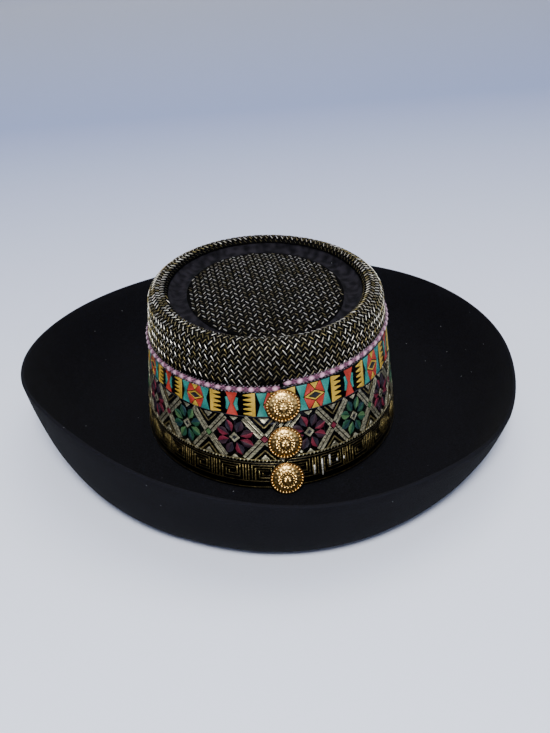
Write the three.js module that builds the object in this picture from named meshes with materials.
// A wide-brimmed black wool felt hat with a trimmed crown.
//
// The felt is one piece: a flat-topped oval crown whose top has a rounded rim, a
// sunken groove and a low middle, and a broad brim that rolls up all the way round.
// Woven cloth with metallic thread covers the rim and the middle of the top. Below it
// run a gathered braid and three ribbons, which meet at the front of the hat under a
// column of three cast buttons.
//
// Millimetres, +Z up. The front of the hat faces -Y. The origin is on the surface the
// hat rests on, at the centre of the brim's outline.

import * as THREE from 'three';

const FULL_TURN = Math.PI * 2;
const degrees = THREE.MathUtils.degToRad;
const lerp = THREE.MathUtils.lerp;

// Driving sizes

const FELT = 2.2;            // thickness of the felt
const CLOTH = 1.0;           // thickness of the covers and the ribbons
const GAP = 0.3;             // clearance between pieces that lie on each other
const FACETS = 56;           // facets round the crown and the brim

const CROWN = {
  halfWidth: 87.6,           // outside the ribbons, on the table's level
  halfLength: 105.1,
  taper: 0.001,              // share of the width and length lost for each mm of height
  height: 105.0,             // to the top of the covered rim
};

const RIM = {
  outerRadius: 8.4,          // rounding from the side to the top of the rim
  innerRadius: 6.4,          // rounding from the top of the rim into the groove
  innerTurn: 65,             // degrees of that rounding that the cloth covers
};

// The bare felt groove between the rim and the middle of the top.
const GROOVE = [
  { inset: 15.4, height: 97.6 },
  { inset: 18.6, height: 95.9 },
  { inset: 22.6, height: 95.7 },
  { inset: 25.2, height: 96.4 },
];

const TIP = {
  inset: 26.4,               // from the side of the crown to the edge of the middle
  edgeHeight: 98.4,          // top of the cloth at that edge
  rise: 5.0,                 // from that edge to the centre
  fullness: 2.3,             // power of the curve: higher is flatter in the middle
  forward: 5.0,              // how much further from the centre its edge lies at the front
};

const BRIM = {
  halfWidth: 165.3,          // to the brim's edge, at the sides
  halfLength: 187.4,         // to the brim's edge, at the front and the back
  breakHeight: 3.8,          // underside of the felt where the brim leaves the crown
  breakRadius: 1.2,          // inside rounding of that bend
  restStart: 0.36,           // share of the brim's width where its flat resting ring starts
  restEnd: 0.44,             // and where it ends and the roll begins
  rollPower: 3.0,            // how late the roll steepens
};

// The brim's edge, going round from the front by the right: its height above the table,
// and how far it flares past the oval.
const BRIM_EDGE = [
  { direction: 0, rise: 53.7, flare: 0.4 },
  { direction: 30, rise: 49.3, flare: -1.4 },
  { direction: 60, rise: 41.0, flare: -0.2 },
  { direction: 90, rise: 47.3, flare: 1.4 },
  { direction: 120, rise: 48.3, flare: 1.2 },
  { direction: 150, rise: 45.5, flare: 0.3 },
  { direction: 180, rise: 43.8, flare: 0.4 },
  { direction: 210, rise: 45.1, flare: 0.0 },
  { direction: 240, rise: 51.4, flare: 0.1 },
  { direction: 270, rise: 60.8, flare: 1.4 },
  { direction: 300, rise: 71.7, flare: -1.2 },
  { direction: 330, rise: 61.1, flare: -3.1 },
];

// The edges of the trims. Each is wound round once from the seam, by the right, so its
// two ends differ in height by the step, and the right side lies higher by the tilt.
const SEAM = degrees(-2.4);  // direction of the seam, from the front towards the right
const SEAM_OPENING = 0.4;    // between the two ends of a ribbon

const EDGES = {
  braid: { height: 78.3, step: 2.6, tilt: 4.3 },
  geometricTop: { height: 76.7, step: 2.0, tilt: 4.0 },
  geometricFoot: { height: 58.6, step: 2.0, tilt: 1.0 },
  brocadeFoot: { height: 28.9, step: 2.5, tilt: 0.0 },
  keyFoot: { height: 9.3, step: 0.4, tilt: 1.1 },
};

const BRAID = {
  height: 4.8,               // from its lower to its upper edge
  thickness: 1.5,            // at the top of a puff
  pinch: 0.5,                // how much thinner it is between two puffs
  waist: 0.85,               // share of its height that is left between two puffs
  puffs: 78,                 // round the hat
  opening: 0.0012,           // share of the way round that its two ends stand apart
};

const BUTTON = {
  radius: 10.75,
  heights: [65.9, 41.4, 16.9],
  names: ['button_top', 'button_middle', 'button_bottom'],
  bossRadius: 5.0,           // the seat behind the disc, which stands on the ribbons
  bossHeight: 1.7,
  flange: 0.5,               // thickness of the disc's edge
  rings: [0.18, 0.36, 0.55, 0.7, 0.8, 0.88, 0.97],
  sides: 28,
};

// The relief on a button's front. Reaches and widths are shares of its radius.
const RELIEF = {
  floor: 1.0,                // above the disc's back, at its edge
  dome: 2.4,                 // from the edge to the middle
  domeFullness: 2.2,
  locks: 14,                 // radiating locks of the mane, with a bead at the end of each
  beads: { reach: 0.88, width: 0.05, height: 0.35, wave: 0.35 },
  mane: { reach: 0.55, width: 0.13, height: 0.6, wave: 0.3 },
};

const FACE = [
  { part: 'head', across: 0, up: 0.02, size: 0.3, height: 0.7 },
  { part: 'muzzle', across: 0, up: -0.12, size: 0.12, height: 0.5 },
  { part: 'left brow', across: -0.16, up: 0.2, size: 0.09, height: 0.3 },
  { part: 'right brow', across: 0.16, up: 0.2, size: 0.09, height: 0.3 },
];

// Materials

const feltBlack = new THREE.MeshStandardMaterial({ color: 0x121214, roughness: 0.95, metalness: 0 });
const metallicCloth = new THREE.MeshStandardMaterial({ color: 0x3a3730, roughness: 0.5, metalness: 0.4 });
const pinkBraidCloth = new THREE.MeshStandardMaterial({ color: 0xb0708c, roughness: 0.45, metalness: 0 });
const geometricCloth = new THREE.MeshStandardMaterial({ color: 0x9a7a3c, roughness: 0.7, metalness: 0 });
const brocadeCloth = new THREE.MeshStandardMaterial({ color: 0x4a3a40, roughness: 0.5, metalness: 0.3 });
const keyCloth = new THREE.MeshStandardMaterial({ color: 0x262216, roughness: 0.6, metalness: 0.2 });
const castGold = new THREE.MeshStandardMaterial({ color: 0xd9a441, roughness: 0.25, metalness: 1 });

// Directions and outlines

// The facets' corners are spaced so that the seam falls in the middle of one facet.
const cornerDirection = (corner) => SEAM + ((corner + 0.5) / FACETS) * FULL_TURN;
const corners = Array.from({ length: FACETS }, (_, i) => i);

const narrowing = (z) => 1 - CROWN.taper * z;
const sideReach = (z, inset) => CROWN.halfWidth * narrowing(z) - inset;
const extraLength = (z) => (CROWN.halfLength - CROWN.halfWidth) * narrowing(z);

// A point of an oval, from the front round by the right.
function ovalPoint(halfWidth, halfLength, direction, z) {
  return new THREE.Vector3(halfWidth * Math.sin(direction), -halfLength * Math.cos(direction), z);
}

// A point of the crown's surface, a little inside or outside its outline.
function crownPoint(direction, z, inset) {
  const reach = sideReach(z, inset);
  return ovalPoint(reach, reach + extraLength(z), direction, z);
}

// A value of a table's column at any direction, smooth through its rows and closed.
function aroundTable(rows, column, direction) {
  const place = (THREE.MathUtils.euclideanModulo(direction, FULL_TURN) / FULL_TURN) * rows.length;
  const first = Math.floor(place);
  const t = place - first;
  const value = (i) => rows[(i + rows.length) % rows.length][column];
  const [a, b, c, d] = [value(first - 1), value(first), value(first + 1), value(first + 2)];
  return b + 0.5 * t * (c - a + t * (2 * a - 5 * b + 4 * c - d + t * (3 * (b - c) + d - a)));
}

// Height of a trim's edge, where share is 0 at its right end and 1 at its left end.
function edgeHeight(edge, share) {
  const direction = SEAM + share * FULL_TURN;
  return edge.height + edge.step * (0.5 - share) + edge.tilt * Math.sin(direction);
}

// Closed bodies

function geometryOf(points, faces) {
  const geometry = new THREE.BufferGeometry();
  geometry.setAttribute('position', new THREE.Float32BufferAttribute(points.flatMap((p) => p.toArray()), 3));
  geometry.setIndex(faces);
  geometry.computeVertexNormals();
  return geometry;
}

// Rings of equal length joined in order. The first and last close on a single point
// each, or on each other where no points are given.
function ringBody(rings, startPoint, endPoint) {
  const count = rings[0].length;
  const points = rings.flat();
  const faces = [];
  const joined = startPoint ? rings.length - 1 : rings.length;
  for (let ring = 0; ring < joined; ring += 1) {
    const here = ring * count;
    const there = ((ring + 1) % rings.length) * count;
    for (let i = 0; i < count; i += 1) {
      const next = (i + 1) % count;
      faces.push(here + i, there + i, there + next, here + i, there + next, here + next);
    }
  }
  if (startPoint) {
    const last = (rings.length - 1) * count;
    const start = points.push(startPoint) - 1;
    const end = points.push(endPoint) - 1;
    for (let i = 0; i < count; i += 1) {
      const next = (i + 1) % count;
      faces.push(start, i, next, end, last + next, last + i);
    }
  }
  return geometryOf(points, faces);
}

// Four-cornered sections joined in order, with a flat end at each end.
function stripBody(sections) {
  const faces = [];
  for (let i = 0; i + 1 < sections.length; i += 1) {
    for (let side = 0; side < 4; side += 1) {
      const a = i * 4 + side;
      const b = i * 4 + ((side + 1) % 4);
      faces.push(a, b + 4, b, a, a + 4, b + 4);
    }
  }
  const last = (sections.length - 1) * 4;
  faces.push(0, 1, 2, 0, 2, 3, last, last + 2, last + 1, last, last + 3, last + 2);
  return geometryOf(sections.flat(), faces);
}

function piece(name, geometry, material) {
  const mesh = new THREE.Mesh(geometry, material);
  mesh.name = name;
  return mesh;
}

// The crown's section, as rows of reach (out from the centre, at the side), height,
// stretch (1 where the oval has its full extra length, 0 at the centre) and forward (the
// share of the middle's forward reach that the row takes)

const rimBase = CROWN.height - RIM.outerRadius;
const rimReach = sideReach(rimBase, 0);
const tipReach = sideReach(TIP.edgeHeight, TIP.inset);

// All of it at the edge of the middle, and less towards the centre and across the groove.
function forwardShare(reach) {
  const grooveWidth = TIP.inset - GROOVE[0].inset;
  return Math.min(reach / tipReach, Math.max(0, 1 - (reach - tipReach) / grooveWidth));
}

// The rounded rim, as far under its covered surface as depth says.
function rimSection(depth, outerTurns, innerTurns) {
  const outer = outerTurns.map((turn) => {
    const radius = RIM.outerRadius - depth;
    const angle = degrees(turn);
    return {
      reach: rimReach - RIM.outerRadius + radius * Math.cos(angle),
      z: rimBase + radius * Math.sin(angle),
      stretch: 1,
      forward: 0,
    };
  });
  const inner = innerTurns.map((turn) => {
    const radius = RIM.innerRadius - depth;
    const angle = degrees(turn);
    return {
      reach: rimReach - RIM.outerRadius - radius * Math.sin(angle),
      z: CROWN.height - RIM.innerRadius + radius * Math.cos(angle),
      stretch: 1,
      forward: 0,
    };
  });
  return [...outer, ...inner];
}

// The low middle of the top, from its edge inward, without its centre point.
function tipSection(depth, shares) {
  return shares.map((share) => ({
    reach: tipReach * share,
    z: TIP.edgeHeight - depth + TIP.rise * (1 - share ** TIP.fullness),
    stretch: share,
    forward: share,
  }));
}
const tipCentre = (depth) => new THREE.Vector3(0, 0, TIP.edgeHeight + TIP.rise - depth);

const grooveSection = () => GROOVE.map((row) => ({
  reach: sideReach(row.height, row.inset),
  z: row.height,
  stretch: 1,
  forward: forwardShare(sideReach(row.height, row.inset)),
}));

// The same section moved into the felt, square to its own line. The section runs from
// the side of the crown to its centre.
function thickened(section, thickness) {
  return section.map((row, i) => {
    const before = section[Math.max(i - 1, 0)];
    const after = section[Math.min(i + 1, section.length - 1)];
    const along = new THREE.Vector2(after.reach - before.reach, after.z - before.z).normalize();
    return {
      reach: row.reach - along.y * thickness,
      z: row.z + along.x * thickness,
      stretch: row.stretch,
      forward: row.forward,
    };
  });
}

const sectionRing = (row) => corners.map((corner) => {
  const direction = cornerDirection(corner);
  const length = row.reach + extraLength(row.z) * row.stretch;
  const forward = Math.cos(direction) > 0 ? TIP.forward * row.forward : 0;
  return ovalPoint(row.reach, length + forward, direction, row.z);
});

// Felt body

// One ring of the brim, side is +1 for its top and -1 for its underside. Share runs
// from 0 at the crown to 1 at the edge, and past runs on beyond the edge, in mm.
function brimRing(share, side, past = 0) {
  const wallFace = sideReach(0, CLOTH + GAP - BRIM.breakRadius);
  return corners.map((corner) => {
    const direction = cornerDirection(corner);
    const rise = aroundTable(BRIM_EDGE, 'rise', direction);
    const flare = aroundTable(BRIM_EDGE, 'flare', direction);
    const near = { x: wallFace, y: wallFace + extraLength(0) };
    const far = { x: BRIM.halfWidth + flare, y: BRIM.halfLength + flare };
    const width = Math.hypot((far.x - near.x) * Math.sin(direction), (far.y - near.y) * Math.cos(direction));
    let height = 0;
    let slope = 0;
    if (share < BRIM.restStart) {
      const left = 1 - share / BRIM.restStart;
      height = BRIM.breakHeight * left ** 2;
      slope = (-2 * BRIM.breakHeight * left) / (BRIM.restStart * width);
    } else if (share > BRIM.restEnd) {
      const span = 1 - BRIM.restEnd;
      const done = (share - BRIM.restEnd) / span;
      height = (rise - FELT / 2) * done ** BRIM.rollPower;
      slope = ((rise - FELT / 2) * BRIM.rollPower * done ** (BRIM.rollPower - 1)) / (span * width);
    }
    const steepness = Math.hypot(1, slope);
    const outward = (-side * slope * FELT) / 2 / steepness + past / steepness;
    const upward = (side * FELT) / 2 / steepness + (past * slope) / steepness;
    return ovalPoint(
      lerp(near.x, far.x, share) + outward,
      lerp(near.y, far.y, share) + outward,
      direction,
      FELT / 2 + height + upward,
    );
  });
}

function feltBody() {
  const depth = CLOTH + GAP;
  const brimTop = BRIM.breakHeight + FELT;
  const wallFoot = brimTop + BRIM.breakRadius;
  const outside = [
    { reach: sideReach(wallFoot, depth), z: wallFoot, stretch: 1, forward: 0 },
    ...rimSection(depth, [0, 30, 60, 90], [35, 65]),
    ...grooveSection(),
    ...tipSection(depth, [1, 0.75, 0.4]),
  ];
  const inside = thickened(outside, FELT);
  const brimShares = [0, 0.18, BRIM.restStart, BRIM.restEnd, 0.58, 0.71, 0.83, 0.93, 1];
  const rings = [
    ...outside.slice().reverse().map(sectionRing),
    ...brimShares.map((share) => brimRing(share, 1)),
    brimRing(1, 0, FELT * 0.3),
    ...brimShares.slice().reverse().map((share) => brimRing(share, -1)),
    ...inside.map(sectionRing),
  ];
  return ringBody(rings, tipCentre(depth), tipCentre(depth + FELT));
}

// Cloth covers

function sideCover() {
  const outside = rimSection(0, [0, 30, 60, 90], [35, RIM.innerTurn]);
  const inside = rimSection(CLOTH, [0, 30, 60, 90], [35, RIM.innerTurn]);
  const { height, step, tilt } = EDGES.geometricTop;
  const foot = (inset) => corners.map((corner) => {
    const direction = cornerDirection(corner);
    return crownPoint(direction, height + step / 2 + GAP + tilt * Math.sin(direction), inset);
  });
  const rings = [
    ...outside.slice().reverse().map(sectionRing),
    foot(0),
    foot(CLOTH),
    ...inside.map(sectionRing),
  ];
  return ringBody(rings);
}

function tipCover() {
  const shares = [1, 0.75, 0.4];
  const rings = [
    ...tipSection(0, shares.slice().reverse()).map(sectionRing),
    ...tipSection(CLOTH, shares).map(sectionRing),
  ];
  return ringBody(rings, tipCentre(0), tipCentre(CLOTH));
}

// Trims

// A flat ribbon from the seam round to the seam, between two edges.
function ribbon(foot, top) {
  const opening = SEAM_OPENING / 2 / crownPoint(SEAM, foot.height, 0).distanceTo(
    crownPoint(SEAM + FULL_TURN / FACETS, foot.height, 0),
  );
  const places = [opening, ...corners.map((corner) => corner + 0.5), FACETS - opening];
  const pointAt = (place, edge, inset) => {
    const height = edgeHeight(edge, place / FACETS);
    const corner = Math.floor(place - 0.5);
    return crownPoint(cornerDirection(corner), height, inset)
      .lerp(crownPoint(cornerDirection(corner + 1), height, inset), place - 0.5 - corner);
  };
  return stripBody(places.map((place) => [
    pointAt(place, foot, CLOTH),
    pointAt(place, foot, 0),
    pointAt(place, top, 0),
    pointAt(place, top, CLOTH),
  ]));
}

const belowEdge = (edge) => ({ ...edge, height: edge.height - GAP });

// The gathered braid, which covers the join of the cloth and the top ribbon.
function braid() {
  const steps = BRAID.puffs * 2;
  const sections = Array.from({ length: steps + 1 }, (_, step) => {
    const share = lerp(BRAID.opening / 2, 1 - BRAID.opening / 2, step / steps);
    const direction = SEAM + share * FULL_TURN;
    const middle = edgeHeight(EDGES.braid, share);
    const puffed = step % 2;
    const half = (BRAID.height / 2) * (puffed ? 1 : BRAID.waist);
    const thickness = BRAID.thickness - (puffed ? 0 : BRAID.pinch);
    return [
      crownPoint(direction, middle - half, -GAP),
      crownPoint(direction, middle - half * 0.6, -GAP - thickness),
      crownPoint(direction, middle + half * 0.6, -GAP - thickness),
      crownPoint(direction, middle + half, -GAP),
    ];
  });
  return stripBody(sections);
}

// Cast buttons

// Height of the button's front above the disc's back, at a share of its radius and a
// turn round from its top.
function buttonRelief(share, turn) {
  const dome = RELIEF.dome * (1 - share ** RELIEF.domeFullness);
  const band = ({ reach, width, height, wave }) => (
    (height + wave * Math.cos(turn * RELIEF.locks)) * Math.exp(-(((share - reach) / width) ** 2))
  );
  const face = FACE.reduce((sum, { across, up, size, height }) => {
    const away = Math.hypot(share * Math.sin(turn) - across, share * Math.cos(turn) - up);
    return sum + height * Math.exp(-((away / size) ** 2));
  }, 0);
  return RELIEF.floor + dome + band(RELIEF.beads) + band(RELIEF.mane) + face;
}

function buttonGeometry() {
  const { radius, bossRadius, bossHeight, flange, sides } = BUTTON;
  const turns = Array.from({ length: sides }, (_, i) => (i / sides) * FULL_TURN);
  const ring = (r, height) => turns.map((turn) => (
    new THREE.Vector3(r * Math.sin(turn), r * Math.cos(turn), height)
  ));
  const front = (share) => turns.map((turn) => {
    const height = bossHeight + buttonRelief(share, turn);
    return new THREE.Vector3(radius * share * Math.sin(turn), radius * share * Math.cos(turn), height);
  });
  const rings = [
    ...BUTTON.rings.map(front),
    ring(radius, bossHeight + flange),
    ring(radius - flange / 2, bossHeight),
    ring(bossRadius, bossHeight),
    ring(bossRadius, 0),
  ];
  const middle = new THREE.Vector3(0, 0, bossHeight + buttonRelief(0, 0));
  return ringBody(rings.map((r) => r.slice().reverse()), middle, new THREE.Vector3(0, 0, 0));
}

// A button stands square to the crown's side, over the seam.
function placedButton(name, height) {
  const foot = crownPoint(SEAM, height, 0);
  const across = crownPoint(SEAM + 0.01, height, 0).sub(crownPoint(SEAM - 0.01, height, 0)).normalize();
  const up = crownPoint(SEAM, height + 1, 0).sub(crownPoint(SEAM, height - 1, 0)).normalize();
  const out = new THREE.Vector3().crossVectors(across, up).normalize();
  const mesh = piece(name, buttonGeometry(), castGold);
  mesh.quaternion.setFromRotationMatrix(new THREE.Matrix4().makeBasis(across, up, out));
  mesh.position.copy(foot).addScaledVector(out, GAP);
  return mesh;
}

// The hat

const hat = new THREE.Group();
hat.add(
  piece('felt_body', feltBody(), feltBlack),
  piece('side_cover', sideCover(), metallicCloth),
  piece('tip_cover', tipCover(), metallicCloth),
  piece('pink_braid', braid(), pinkBraidCloth),
  piece('geometric_ribbon', ribbon(EDGES.geometricFoot, EDGES.geometricTop), geometricCloth),
  piece('brocade_ribbon', ribbon(EDGES.brocadeFoot, belowEdge(EDGES.geometricFoot)), brocadeCloth),
  piece('key_ribbon', ribbon(EDGES.keyFoot, belowEdge(EDGES.brocadeFoot)), keyCloth),
  ...BUTTON.names.map((name, i) => placedButton(name, BUTTON.heights[i])),
);

export default hat;
